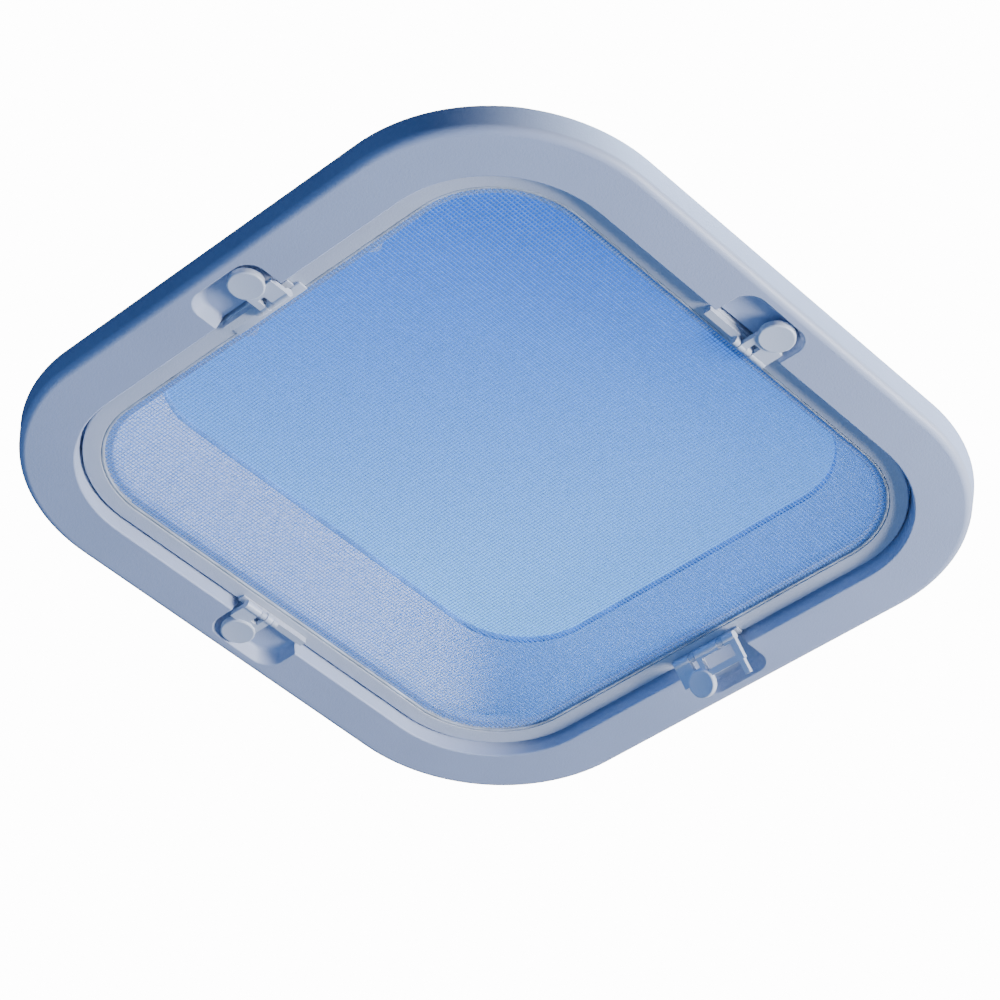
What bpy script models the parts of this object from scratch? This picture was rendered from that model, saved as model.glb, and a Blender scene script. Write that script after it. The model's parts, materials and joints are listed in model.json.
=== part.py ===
"""Opening porthole: a square, round-cornered opening light for a deck or cabin roof.

Frame: the origin is the centre of the deck opening, on the underside of the deck flange.
+Z points outdoors, through the lens; -Z points into the cabin. The lid's hinges are on the
+Y side and its handles near the -Y side. All lengths are in metres.

A ring is described by its sections. Each section is one closed, round-cornered rectangle,
given as (half length along X, half length along Y, corner radius, height).
"""

import math

import bmesh
import bpy
from mathutils import Matrix, Vector

# Driving dimensions of the opening
GAP = 0.0003  # between pieces that rest on each other
CORNER_STEPS = 10  # facets in each round corner
FACE_HALF = 0.250  # trim ring's cabin face, centre to outer edge
FACE_RADIUS = 0.119  # corner radius at that edge
FACE_Z = -0.039  # cabin face of the trim ring
TRIM_DEPTH = 0.019  # trim ring's outer wall, face to headliner
TRIM_DRAFT = 0.0026  # the outer wall widens by this much towards the headliner
TRIM_WALL = 0.003
FACE_INNER = 0.2143  # trim ring's cabin face, centre to inner edge
SEAT_HALF = 0.2113  # foot of the recess that takes the screen frame
LEDGE_HALF = 0.203  # inner edge of the ledge behind the screen frame
LEDGE_Z = -0.018
BOSS_HALF = 0.217  # back of the recess's wall

SCREEN_HALF = 0.2108  # outer edge of the screen frame
SCREEN_Z = -0.0303  # flat band of the screen frame
SCREEN_TOP_Z = -0.0212
BAND_INNER = 0.199
GROOVE_INNER = 0.1965
LIP_Z = -0.0278
MESH_HALF = 0.191  # clear opening of the screen frame
MESH_THICKNESS = 0.0008

LIGHT_X = 0.1616  # half sizes of the clear light under the lens
LIGHT_Y = 0.1851
LIGHT_RADIUS = 0.060
LINER_TOP_Z = 0.0265
LINER_WALL = 0.003
LINER_FLANGE = 0.0026

FLANGE_HALF = 0.232
FLANGE_THICKNESS = 0.004
SPIGOT_HALF = 0.2095  # the spigot stands in a 424 mm deck cut-out
SPIGOT_INNER = 0.2065
SPIGOT_BOTTOM_Z = -0.0118
UPSTAND_HALF = 0.2040
UPSTAND_INNER = 0.2005
UPSTAND_TOP_Z = 0.023

LID_HALF = 0.209
LID_SKIRT_Z = 0.014
LID_BOTTOM_Z = 0.027
LID_LEDGE = 0.003
LID_TOP_Z = 0.0385
LENS_X = 0.1736
LENS_Y = 0.1971
LENS_RADIUS = 0.072
LENS_THICKNESS = 0.008

# The lid's hinges and handles are laid out in side axes: x outwards from the centre, y along
# the side, z up.
HINGE_SIDE = 90.0  # direction of the hinge side, in degrees from +X
HINGE_X = 0.2215
HINGE_Z = 0.0215
HINGE_Y = (-0.115, 0.115)
HINGE_PIN_R = 0.0025
HINGE_KNUCKLE_R = 0.006
HINGE_WIDTH = 0.046

HANDLE_SIDE = -90.0
HANDLE_X = 0.1698
HANDLE_Y = (0.056, -0.056)
SPINDLE_R = 0.0035
HUB_R = 0.0060
BUSH_R = 0.0055
CAP_R = 0.011
CAM_TOP_Z = 0.0234
CAM_REACH = 0.0100
LEVER_LENGTH = 0.048
LEVER_WIDTH = 0.009
LEVER_OFFSET = 0.004  # the lever's inner edge, from the spindle's axis
LEVER_TOP_Z = 0.0195

# Screen catches, one at the middle of each side. Their local axes are u, outwards from the
# centre; t, along the side; and w, towards the cabin. A catch's place is given in (u, t, w).
CATCH_NAMES = ("a", "b", "c", "d")
CATCH_ANGLES = (0.0, -90.0, 180.0, 90.0)
CATCH_REST = (0.0, 0.0, 0.0, 45.0)  # how far each lever is swung open, in degrees
PIN_U = 0.2050
PIN_W = 0.0362
PIN_R = 0.0015
PIN_HOLE_R = 0.0019
BARREL_R = 0.0031
PAD_R = 0.0118
PAD_U = 0.2275
PAD_T = -0.0123
LEVER_T = (-0.0262, -0.0030)  # ends of the lever's barrel
EAR_T = ((-0.0130, -0.0086), (-0.0025, 0.0017))  # the bracket's two ears
PIN_T = (-0.0244, 0.0007)
LONG_CATCH = "d"  # this one has a wider lever, with a long arm and a smaller pad
LONG_PAD_R = 0.0100
LONG_PAD_U = 0.2235
LONG_LEVER_T = (-0.0262, 0.0262)
LONG_EAR_T = ((-0.0130, -0.0086), (0.0119, 0.0161))
LONG_PIN_T = (-0.0244, 0.0244)
FRONT_W = 0.0024  # front and back of the lever's plate, from the pin's axis
REAR_W = -0.0012
SEAT_T = (-0.0300, 0.0290)  # rim of the hollow that the lever lies in
SEAT_U = 0.2420
SEAT_DEPTH = 0.0095
SEAT_SLOPE = 0.003  # how far the hollow narrows towards its floor
SEAT_CORNER = 0.013

SCREW_HALF = 0.2072  # trim screws lie on this square
SCREW_ALONG = 0.075  # their distance from the middle of a side
SCREW_R = 0.0016
SCREW_HEAD_R = 0.0030

COLOURS = {
    "moulding": ((0.66, 0.69, 0.74, 1.0), 0.45, 0.0),
    "screen": ((0.60, 0.63, 0.68, 1.0), 0.50, 0.0),
    "mesh": ((0.45, 0.48, 0.54, 1.0), 0.80, 0.0),
    "liner": ((0.78, 0.80, 0.84, 1.0), 0.50, 0.0),
    "aluminium": ((0.62, 0.63, 0.65, 1.0), 0.35, 1.0),
    "steel": ((0.55, 0.56, 0.58, 1.0), 0.25, 1.0),
    "rubber": ((0.03, 0.03, 0.035, 1.0), 0.70, 0.0),
    "tinted": ((0.10, 0.35, 0.75, 1.0), 0.08, 0.0),
    "handle": ((0.70, 0.72, 0.76, 1.0), 0.40, 0.0),
}


def clear_scene():
    for obj in list(bpy.data.objects):
        bpy.data.objects.remove(obj)


def make_collection(name):
    collection = bpy.data.collections.new(name)
    bpy.context.scene.collection.children.link(collection)
    return collection


def make_material(name):
    colour, roughness, metallic = COLOURS[name]
    material = bpy.data.materials.new(name)
    material.use_nodes = True
    shader = material.node_tree.nodes["Principled BSDF"]
    shader.inputs["Base Color"].default_value = colour
    shader.inputs["Roughness"].default_value = roughness
    shader.inputs["Metallic"].default_value = metallic
    return material


clear_scene()
PARTS = make_collection("opening_porthole")
CUTTERS = make_collection("cutters")
MATERIALS = {name: make_material(name) for name in COLOURS}


# --- building blocks ---------------------------------------------------------------------


def add_object(name, bm, material=None, matrix=Matrix()):
    """Makes an object of the bmesh: a part if it has a material, or else a cutter."""
    bmesh.ops.recalc_face_normals(bm, faces=bm.faces)
    mesh = bpy.data.meshes.new(name)
    bm.to_mesh(mesh)
    bm.free()
    obj = bpy.data.objects.new(name, mesh)
    obj.matrix_world = matrix
    if material:
        mesh.materials.append(MATERIALS[material])
        mesh.shade_smooth()
        mesh.set_sharp_from_angle(angle=math.radians(35))
        PARTS.objects.link(obj)
    else:
        CUTTERS.objects.link(obj)
        obj.hide_render = True
        obj.display_type = "WIRE"
    return obj


def rounded_loop(bm, half_x, half_y, radius, z):
    """The vertices of one round-cornered rectangle, counter-clockwise seen from +Z."""
    loop = []
    for quarter in range(4):
        turn = quarter * math.pi / 2
        side_x = 1 if quarter in (0, 3) else -1
        side_y = 1 if quarter in (0, 1) else -1
        centre = Vector((side_x * (half_x - radius), side_y * (half_y - radius), z))
        for step in range(CORNER_STEPS + 1):
            angle = turn + step * math.pi / 2 / CORNER_STEPS
            around = Vector((math.cos(angle), math.sin(angle), 0.0))
            loop.append(bm.verts.new(centre + radius * around))
    return loop


def bridge(bm, lower, upper):
    count = len(lower)
    for i in range(count):
        j = (i + 1) % count
        bm.faces.new((lower[i], lower[j], upper[j], upper[i]))


def make_ring(name, sections, material):
    """A closed ring lofted through its sections, the last of which joins the first."""
    bm = bmesh.new()
    loops = [rounded_loop(bm, *section) for section in sections]
    for loop, following in zip(loops, loops[1:] + loops[:1]):
        bridge(bm, loop, following)
    return add_object(name, bm, material)


def make_plate(name, half_x, half_y, radius, bottom, top, material):
    bm = bmesh.new()
    lower = rounded_loop(bm, half_x, half_y, radius, bottom)
    upper = rounded_loop(bm, half_x, half_y, radius, top)
    bridge(bm, lower, upper)
    bm.faces.new(lower)
    bm.faces.new(upper)
    return add_object(name, bm, material)


def square(half, z, corner_half=FACE_HALF, corner_radius=FACE_RADIUS):
    """A square section whose corners are parallel to those of the given square."""
    return (half, half, corner_radius - (corner_half - half), z)


def add_box(bm, low, high):
    low, high = Vector(low), Vector(high)
    size = Matrix.Diagonal((*(high - low), 1.0))
    middle = Matrix.Translation((low + high) / 2)
    return bmesh.ops.create_cube(bm, size=1.0, matrix=middle @ size)["verts"]


def add_cylinder(bm, radius, start, end, segments=24, end_radius=None):
    """A cylinder or cone from start to end."""
    start, end = Vector(start), Vector(end)
    along = end - start
    turn = along.to_track_quat("Z", "Y").to_matrix().to_4x4()
    bmesh.ops.create_cone(
        bm,
        cap_ends=True,
        segments=segments,
        radius1=radius,
        radius2=radius if end_radius is None else end_radius,
        depth=along.length,
        matrix=Matrix.Translation((start + end) / 2) @ turn,
    )


def box_object(name, low, high, material=None, matrix=Matrix()):
    bm = bmesh.new()
    add_box(bm, low, high)
    return add_object(name, bm, material, matrix)


def cylinder_object(name, radius, start, end, material=None, matrix=Matrix(), segments=24):
    bm = bmesh.new()
    add_cylinder(bm, radius, start, end, segments)
    return add_object(name, bm, material, matrix)


def arc(radius, start, end, steps, centre=(0.0, 0.0)):
    """Points (x, z) on an arc, between two angles in degrees."""
    angles = [math.radians(start + (end - start) * i / steps) for i in range(steps + 1)]
    return [(centre[0] + radius * math.cos(a), centre[1] + radius * math.sin(a)) for a in angles]


def prism_object(name, outline, low, high, material=None, matrix=Matrix()):
    """An outline of (x, z) points, extruded along Y from low to high."""
    bm = bmesh.new()
    face = bm.faces.new([bm.verts.new((x, low, z)) for x, z in outline])
    extruded = bmesh.ops.extrude_face_region(bm, geom=[face])["geom"]
    verts = [item for item in extruded if isinstance(item, bmesh.types.BMVert)]
    bmesh.ops.translate(bm, verts=verts, vec=(0.0, high - low, 0.0))
    return add_object(name, bm, material, matrix)


def combine(obj, other, operation):
    """Cuts the other object out of this one, or joins it on."""
    modifier = obj.modifiers.new(operation.lower(), "BOOLEAN")
    modifier.operation = operation
    modifier.object = other


def round_edges(obj, width, segments=2, angle=35):
    modifier = obj.modifiers.new("rounded_edges", "BEVEL")
    modifier.width = width
    modifier.segments = segments
    modifier.limit_method = "ANGLE"
    modifier.angle_limit = math.radians(angle)


def side_frame(angle):
    """The matrix from (u, t, w) at the side in this direction to the part's own axes."""
    turn = math.radians(angle)
    outward = Vector((math.cos(turn), math.sin(turn), 0.0))
    along = Vector((math.sin(turn), -math.cos(turn), 0.0))
    return Matrix((outward, along, (0.0, 0.0, -1.0))).transposed().to_4x4()


def turned(side):
    """The matrix from the axes of the side in this direction to the part's own axes."""
    return Matrix.Rotation(math.radians(side), 4, "Z")


# --- fixed structure ---------------------------------------------------------------------


def make_base_frame():
    top = FLANGE_THICKNESS
    sections = [
        square(FLANGE_HALF, 0.0),
        square(FLANGE_HALF, top - 0.0015),
        square(FLANGE_HALF - 0.002, top),
        square(UPSTAND_HALF, top),
        square(UPSTAND_HALF, UPSTAND_TOP_Z),
        square(UPSTAND_INNER, UPSTAND_TOP_Z),
        square(UPSTAND_INNER, 0.0),
        square(SPIGOT_INNER, 0.0),
        square(SPIGOT_INNER, SPIGOT_BOTTOM_Z),
        square(SPIGOT_HALF, SPIGOT_BOTTOM_Z),
        square(SPIGOT_HALF, 0.0),
    ]
    make_ring("base_frame", sections, "aluminium")


def make_lid_gasket():
    """A D-shaped seal on the upstand, just under the closed lid."""
    bottom = UPSTAND_TOP_Z + GAP
    top = LID_BOTTOM_Z - GAP
    sections = [
        square(UPSTAND_HALF, bottom),
        square(UPSTAND_HALF, top - 0.0012),
        square(UPSTAND_HALF - 0.0015, top),
        square(UPSTAND_INNER + 0.0015, top),
        square(UPSTAND_INNER, top - 0.0012),
        square(UPSTAND_INNER, bottom),
    ]
    make_ring("lid_gasket", sections, "rubber")


def make_liner_collar():
    """The pale liner, whose walls close in towards the lens, on the X sides the most."""
    flange_z = LEDGE_Z + TRIM_WALL + GAP
    foot_radius = square(LEDGE_HALF, 0.0)[2]
    sections = [
        (LEDGE_HALF, LEDGE_HALF, foot_radius, flange_z),
        (LIGHT_X, LIGHT_Y, LIGHT_RADIUS, LINER_TOP_Z),
        (
            LIGHT_X + LINER_WALL,
            LIGHT_Y + LINER_WALL,
            LIGHT_RADIUS + LINER_WALL,
            LINER_TOP_Z,
        ),
        (
            LEDGE_HALF + LINER_WALL,
            LEDGE_HALF + LINER_WALL,
            foot_radius + LINER_WALL,
            flange_z + LINER_FLANGE,
        ),
        square(BOSS_HALF, flange_z + LINER_FLANGE),
        square(BOSS_HALF, flange_z),
    ]
    liner = make_ring("liner_collar", sections, "liner")
    holes = screw_cutter("liner_screw_holes", flange_z - 0.001, flange_z + 0.0018)
    combine(liner, holes, "DIFFERENCE")


def make_trim_ring():
    back_z = FACE_Z + TRIM_DEPTH
    wide = FACE_HALF + TRIM_DRAFT
    inside_z = FACE_Z + TRIM_WALL
    edge = 0.0045  # rounding of the outer edge
    rounding = []
    for step in range(4):
        angle = step * math.pi / 6
        rounding.append(
            square(
                FACE_HALF + 0.0006 - edge * (1 - math.cos(angle)),
                FACE_Z + edge * (1 - math.sin(angle)),
            )
        )
    sections = [
        square(wide, back_z),
        *rounding,
        square(FACE_INNER + 0.0012, FACE_Z),
        square(FACE_INNER, FACE_Z + 0.0012),
        square(SEAT_HALF, LEDGE_Z),
        square(LEDGE_HALF, LEDGE_Z),
        square(LEDGE_HALF, LEDGE_Z + TRIM_WALL),
        square(BOSS_HALF, LEDGE_Z + TRIM_WALL),
        square(BOSS_HALF, inside_z),
        square(FACE_HALF - 0.0045, inside_z),
        square(wide - 0.0035, back_z),
    ]
    trim = make_ring("trim_ring", sections, "moulding")
    for name, angle in zip(CATCH_NAMES, CATCH_ANGLES):
        place = side_frame(angle)
        wall = 0.0025
        block = box_object(
            "seat_block_" + name,
            (BOSS_HALF - 0.001, SEAT_T[0] - wall, -FACE_Z - SEAT_DEPTH - wall),
            (SEAT_U + wall, SEAT_T[1] + wall, -inside_z + 0.001),
            matrix=place,
        )
        combine(trim, block, "UNION")
        combine(trim, seat_cutter(name, place), "DIFFERENCE")
    combine(
        trim,
        screw_cutter("trim_screw_holes", LEDGE_Z - 0.001, LEDGE_Z + TRIM_WALL + 0.001),
        "DIFFERENCE",
    )


def seat_outline(inset):
    """The rim of a catch's hollow in (u, t), moved in by the inset on its three closed sides."""
    far = SEAT_U - inset
    low = SEAT_T[0] + inset
    high = SEAT_T[1] - inset
    start = SEAT_HALF - 0.003
    corner = SEAT_CORNER
    return [
        (start, low),
        *arc(corner, -90, 0, 6, (far - corner, low + corner)),
        *arc(corner, 0, 90, 6, (far - corner, high - corner)),
        (start, high),
    ]


def seat_cutter(name, place):
    """The hollow in the trim ring that a catch's lever lies in, with sloping sides."""
    rise = 0.003  # the cutter goes on, past the face, at the same slope
    levels = (
        (SEAT_SLOPE, -FACE_Z - SEAT_DEPTH),
        (-SEAT_SLOPE * rise / SEAT_DEPTH, -FACE_Z + rise),
    )
    bm = bmesh.new()
    loops = []
    for inset, w in levels:
        loops.append([bm.verts.new((u, t, w)) for u, t in seat_outline(inset)])
        bm.faces.new(loops[-1])
    bridge(bm, *loops)
    return add_object("seat_" + name, bm, matrix=place)


def screw_places():
    """The middles of the eight trim screws: two on each side."""
    for angle in CATCH_ANGLES:
        place = side_frame(angle)
        for along in (-SCREW_ALONG, SCREW_ALONG):
            yield place @ Vector((SCREW_HALF, along, 0.0))


def screw_cutter(name, bottom, top):
    bm = bmesh.new()
    for place in screw_places():
        start = (place.x, place.y, bottom)
        add_cylinder(bm, SCREW_R + 0.0004, start, (place.x, place.y, top), 12)
    return add_object(name, bm)


def make_trim_screws():
    head_top = LEDGE_Z - GAP
    for number, place in enumerate(screw_places(), 1):
        bm = bmesh.new()
        x, y = place.x, place.y
        radii = (0.0, 0.0019, SCREW_HEAD_R, SCREW_HEAD_R, SCREW_R, SCREW_R, 0.0)
        heights = (-0.0022, -0.0022, -0.0010, 0.0, 0.0, 0.0046, 0.0050)
        profile = [bm.verts.new((r, 0.0, head_top + h)) for r, h in zip(radii, heights)]
        for start, end in zip(profile, profile[1:]):
            bm.edges.new((start, end))
        bmesh.ops.spin(
            bm,
            geom=bm.verts[:] + bm.edges[:],
            cent=(0.0, 0.0, 0.0),
            axis=(0.0, 0.0, 1.0),
            angle=2 * math.pi,
            steps=12,
        )
        bmesh.ops.remove_doubles(bm, verts=bm.verts, dist=1e-6)
        bmesh.ops.translate(bm, verts=bm.verts, vec=(x, y, 0.0))
        add_object("trim_screw_%d" % number, bm, "steel")


def make_striker(number, y):
    """The block over a cam, on the liner's edge."""
    block = box_object(
        "striker_%d" % number,
        (HANDLE_X + HUB_R + 0.0010, y - 0.014, CAM_TOP_Z + 0.0004),
        (LIGHT_Y - GAP, y + 0.014, LINER_TOP_Z - 0.0004),
        "steel",
        turned(HANDLE_SIDE),
    )
    round_edges(block, 0.0006, 1)


# --- hinges ------------------------------------------------------------------------------


def make_hinge(number, y):
    side_axes = turned(HINGE_SIDE)
    half = HINGE_WIDTH / 2
    ear = 0.008  # thickness of each of the bracket's two ears
    floor = FLANGE_THICKNESS + GAP
    bracket = box_object(
        "hinge_bracket_%d" % number,
        (HINGE_X - 0.0075, y - half, floor),
        (HINGE_X + 0.0075, y + half, floor + 0.003),
        "aluminium",
        side_axes,
    )
    for side in (-1, 1):
        outer = y + side * (half - 0.0003)
        inner = y + side * (half - ear)
        outline = arc(HINGE_KNUCKLE_R, 0, 180, 10, (HINGE_X, HINGE_Z))
        outline += [(x, floor + 0.001) for x in (outline[-1][0], outline[0][0])]
        knuckle = prism_object(
            "ear_%d_%d" % (number, side),
            outline,
            min(outer, inner),
            max(outer, inner),
            matrix=side_axes,
        )
        combine(bracket, knuckle, "UNION")
    hole = cylinder_object(
        "hinge_hole_%d" % number,
        HINGE_PIN_R + 0.0004,
        (HINGE_X, y - 0.05, HINGE_Z),
        (HINGE_X, y + 0.05, HINGE_Z),
        matrix=side_axes,
        segments=16,
    )
    combine(bracket, hole, "DIFFERENCE")
    cylinder_object(
        "hinge_pin_%d" % number,
        HINGE_PIN_R,
        (0.0, -half - 0.001, 0.0),
        (0.0, half + 0.001, 0.0),
        "steel",
        side_axes @ Matrix.Translation((HINGE_X, y, HINGE_Z)),
        16,
    )
    make_hinge_leaf(number, y, half - ear - 0.0005, hole)


def make_hinge_leaf(number, y, half, hole):
    """The lid's half of a hinge: a knuckle and a flat arm that meets the lid's outer wall."""
    place = turned(HINGE_SIDE) @ Matrix.Translation((HINGE_X, y, HINGE_Z))
    reach = LID_HALF + GAP - HINGE_X
    low, high = 0.0005, 0.0055  # underside and top of the arm, above the pin's axis
    outline = [(reach, high), (reach, low)]
    outline += arc(
        HINGE_KNUCKLE_R,
        180 - math.degrees(math.asin(low / HINGE_KNUCKLE_R)),
        540 - math.degrees(math.asin(high / HINGE_KNUCKLE_R)),
        16,
    )
    leaf = prism_object("hinge_leaf_%d" % number, outline, -half, half, "aluminium", place)
    combine(leaf, hole, "DIFFERENCE")


# --- lid ---------------------------------------------------------------------------------


def make_lid():
    shelf_z = LID_BOTTOM_Z + LID_LEDGE
    rebate = 0.0005  # clearance round the lens
    skirt = 0.003
    ledge = 0.008  # how far the ledge reaches under the lens

    def lens_section(outward, z):
        return (LENS_X + outward, LENS_Y + outward, LENS_RADIUS + outward, z)

    sections = [
        lens_section(-ledge, LID_BOTTOM_Z),
        lens_section(-ledge, shelf_z),
        lens_section(rebate, shelf_z),
        lens_section(rebate, LID_TOP_Z),
        square(LID_HALF - 0.008, LID_TOP_Z),
        square(LID_HALF - 0.003, LID_TOP_Z - 0.003),
        square(LID_HALF, LID_TOP_Z - 0.0075),
        square(LID_HALF, LID_SKIRT_Z),
        square(LID_HALF - skirt, LID_SKIRT_Z),
        square(LID_HALF - skirt, LID_BOTTOM_Z),
    ]
    make_ring("lid_frame", sections, "aluminium")
    seal = [
        lens_section(-ledge - GAP, LID_BOTTOM_Z),
        lens_section(-ledge - GAP, shelf_z),
        lens_section(-ledge - 0.0045, shelf_z),
        lens_section(-ledge - 0.0045, LID_BOTTOM_Z + 0.001),
        lens_section(-ledge - 0.0035, LID_BOTTOM_Z),
    ]
    make_ring("lens_seal", seal, "rubber")
    bottom = shelf_z + GAP
    lens = make_plate(
        "lens", LENS_X, LENS_Y, LENS_RADIUS, bottom, bottom + LENS_THICKNESS, "tinted"
    )
    bm = bmesh.new()
    for y in HANDLE_Y:
        ends = ((HANDLE_X, y, LID_BOTTOM_Z), (HANDLE_X, y, LID_TOP_Z + 0.01))
        add_cylinder(bm, SPINDLE_R + 0.0004, *ends, 20)
    holes = add_object("spindle_holes", bm, matrix=turned(HANDLE_SIDE))
    combine(lens, holes, "DIFFERENCE")
    return bottom, bottom + LENS_THICKNESS


def make_handle(number, y, lens_bottom, lens_top):
    """One handle: spindle through the lens, lever, cam and bush in the cabin, cap outdoors."""
    inward = -1 if y > 0 else 1
    place = turned(HANDLE_SIDE) @ Matrix.Translation((HANDLE_X, y, 0.0))
    cylinder_object(
        "spindle_%d" % number,
        SPINDLE_R,
        (0.0, 0.0, LEVER_TOP_Z - 0.0040),
        (0.0, 0.0, lens_top + 0.004),
        "steel",
        place,
        20,
    )
    lever = box_object(
        "handle_lever_%d" % number,
        (-LEVER_OFFSET, min(0.0, inward * LEVER_LENGTH), LEVER_TOP_Z - 0.0042),
        (LEVER_WIDTH - LEVER_OFFSET, max(0.0, inward * LEVER_LENGTH), LEVER_TOP_Z - 0.0002),
        "handle",
        place,
    )
    round_edges(lever, 0.0018)
    hub_z = (LEVER_TOP_Z - 0.0055, LEVER_TOP_Z)
    hub = cylinder_object(
        "hub_%d" % number, HUB_R, (0.0, 0.0, hub_z[0]), (0.0, 0.0, hub_z[1]), matrix=place
    )
    combine(lever, hub, "UNION")
    bore = cylinder_object(
        "hub_bore_%d" % number,
        SPINDLE_R + 0.0004,
        (0.0, 0.0, LEVER_TOP_Z - 0.0044),
        (0.0, 0.0, lens_bottom),
        matrix=place,
        segments=20,
    )
    combine(lever, bore, "DIFFERENCE")
    cam = box_object(
        "cam_%d" % number,
        (-0.0045, min(0.0, -inward * CAM_REACH), LEVER_TOP_Z + GAP),
        (0.0045, max(0.0, -inward * CAM_REACH), CAM_TOP_Z),
        "steel",
        place,
    )
    cam_hub = cylinder_object(
        "cam_hub_%d" % number,
        HUB_R,
        (0.0, 0.0, LEVER_TOP_Z + GAP),
        (0.0, 0.0, CAM_TOP_Z),
        matrix=place,
    )
    combine(cam, cam_hub, "UNION")
    combine(cam, bore, "DIFFERENCE")
    bush = cylinder_object(
        "cam_bush_%d" % number,
        BUSH_R,
        (0.0, 0.0, CAM_TOP_Z + GAP),
        (0.0, 0.0, lens_bottom - GAP),
        "handle",
        place,
    )
    combine(bush, bore, "DIFFERENCE")
    bm = bmesh.new()
    add_cylinder(
        bm, CAP_R, (0.0, 0.0, lens_top + GAP), (0.0, 0.0, lens_top + 0.006), 24, CAP_R - 0.003
    )
    cap = add_object("outer_cap_%d" % number, bm, "handle", place)
    cap_bore = cylinder_object(
        "cap_bore_%d" % number,
        SPINDLE_R + 0.0004,
        (0.0, 0.0, lens_top - 0.001),
        (0.0, 0.0, lens_top + 0.0044),
        matrix=place,
        segments=20,
    )
    combine(cap, cap_bore, "DIFFERENCE")


# --- insect screen -----------------------------------------------------------------------


def make_screen():
    groove_z = SCREEN_Z + 0.0018
    sections = [
        square(SCREEN_HALF, SCREEN_TOP_Z),
        square(SCREEN_HALF, SCREEN_Z + 0.001),
        square(SCREEN_HALF - 0.001, SCREEN_Z),
        square(BAND_INNER, SCREEN_Z),
        square(BAND_INNER, groove_z),
        square(GROOVE_INNER, groove_z),
        square(GROOVE_INNER, LIP_Z),
        square(MESH_HALF + 0.001, LIP_Z),
        square(MESH_HALF, LIP_Z + 0.001),
        square(MESH_HALF, SCREEN_TOP_Z),
    ]
    make_ring("screen_frame", sections, "screen")
    spline_z = groove_z - GAP
    spline = [
        square(BAND_INNER - GAP, spline_z),
        square(BAND_INNER - GAP, spline_z - 0.0007),
        square(BAND_INNER - 0.0008, spline_z - 0.0012),
        square(GROOVE_INNER + 0.0008, spline_z - 0.0012),
        square(GROOVE_INNER + GAP, spline_z - 0.0007),
        square(GROOVE_INNER + GAP, spline_z),
    ]
    make_ring("mesh_spline", spline, "rubber")
    half = GROOVE_INNER - GAP
    top = LIP_Z - GAP
    radius = square(half, 0.0)[2]
    make_plate("screen_mesh", half, half, radius, top - MESH_THICKNESS, top, "mesh")
    plate_w = -SCREEN_Z + GAP
    name_plate = box_object(
        "name_plate",
        (0.1970, -0.0335, plate_w),
        (0.2040, 0.0275, plate_w + 0.0014),
        "screen",
        side_frame(CATCH_ANGLES[1]),
    )
    round_edges(name_plate, 0.0008, 1)


def make_catch(name, angle, opened, long):
    """A bracket and pin on the screen frame, and the lever that swings on them."""
    place = side_frame(angle)
    ears = LONG_EAR_T if long else EAR_T
    foot_w = -SCREEN_Z + GAP
    plate_w = foot_w + 0.0014
    inner, outer = 0.2044, 0.2100
    bracket = box_object(
        "catch_bracket_" + name,
        (inner, -0.0290, foot_w),
        (outer, 0.0285, plate_w),
        "screen",
        place,
    )
    outline = arc(BARREL_R - 0.0002, 0, 180, 8, (PIN_U, PIN_W))
    outline += [(u, plate_w - 0.0005) for u in (inner + 0.0002, outer - 0.0021)]
    for number, (low, high) in enumerate(ears):
        ear = prism_object("ear_%s_%d" % (name, number), outline, low, high, matrix=place)
        combine(bracket, ear, "UNION")
    if not long:
        bar = box_object(
            "bar_" + name,
            (inner + 0.0001, ears[1][1] - 0.0010, plate_w - 0.0004),
            (outer - 0.0001, 0.0284, plate_w + 0.0028),
            matrix=place,
        )
        combine(bracket, bar, "UNION")
    pin_t = LONG_PIN_T if long else PIN_T
    hole = cylinder_object(
        "pin_hole_" + name,
        PIN_HOLE_R,
        (PIN_U, pin_t[0], PIN_W),
        (PIN_U, pin_t[1] + 0.0004, PIN_W),
        matrix=place,
        segments=12,
    )
    combine(bracket, hole, "DIFFERENCE")
    pivot = place @ Matrix.Translation((PIN_U, 0.0, PIN_W))
    cylinder_object(
        "catch_pin_" + name,
        PIN_R,
        (0.0, pin_t[0], 0.0),
        (0.0, pin_t[1], 0.0),
        "steel",
        pivot,
        12,
    )
    swung = pivot @ Matrix.Rotation(-math.radians(opened), 4, "Y")
    if long:
        make_long_lever(name, swung)
    else:
        make_lever(name, swung)


def lever_plate(name, span, reach, place):
    """A lever's barrel and the plate that runs out from it."""
    outline = arc(
        BARREL_R,
        math.degrees(math.asin(FRONT_W / BARREL_R)),
        360 + math.degrees(math.asin(REAR_W / BARREL_R)),
        12,
    )
    outline += [(reach, REAR_W), (reach, FRONT_W)]
    return prism_object("catch_lever_" + name, outline, *span, "moulding", place)


def finish_lever(name, lever, slots, pad, bore_t, place):
    """Cuts the slots and the pin's bore, and adds the pad, given as (radius, x)."""
    for number, (low, high) in enumerate(slots):
        slot = box_object("slot_%s_%d" % (name, number), low, high, matrix=place)
        combine(lever, slot, "DIFFERENCE")
    radius, pad_x = pad
    bm = bmesh.new()
    add_cylinder(bm, radius, (pad_x, PAD_T, -0.0008), (pad_x, PAD_T, 0.0040), 28)
    rim = [
        edge
        for edge in bm.edges
        if all(vert.co.z > 0.003 for vert in edge.verts) and len(edge.link_faces) == 2
    ]
    bmesh.ops.bevel(bm, geom=rim, offset=0.0012, segments=2, profile=0.5, affect="EDGES")
    combine(lever, add_object("pad_" + name, bm, matrix=place), "UNION")
    bore = cylinder_object(
        "lever_bore_" + name,
        PIN_HOLE_R,
        (0.0, bore_t[0], 0.0),
        (0.0, bore_t[1], 0.0),
        matrix=place,
        segments=12,
    )
    combine(lever, bore, "DIFFERENCE")


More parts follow.
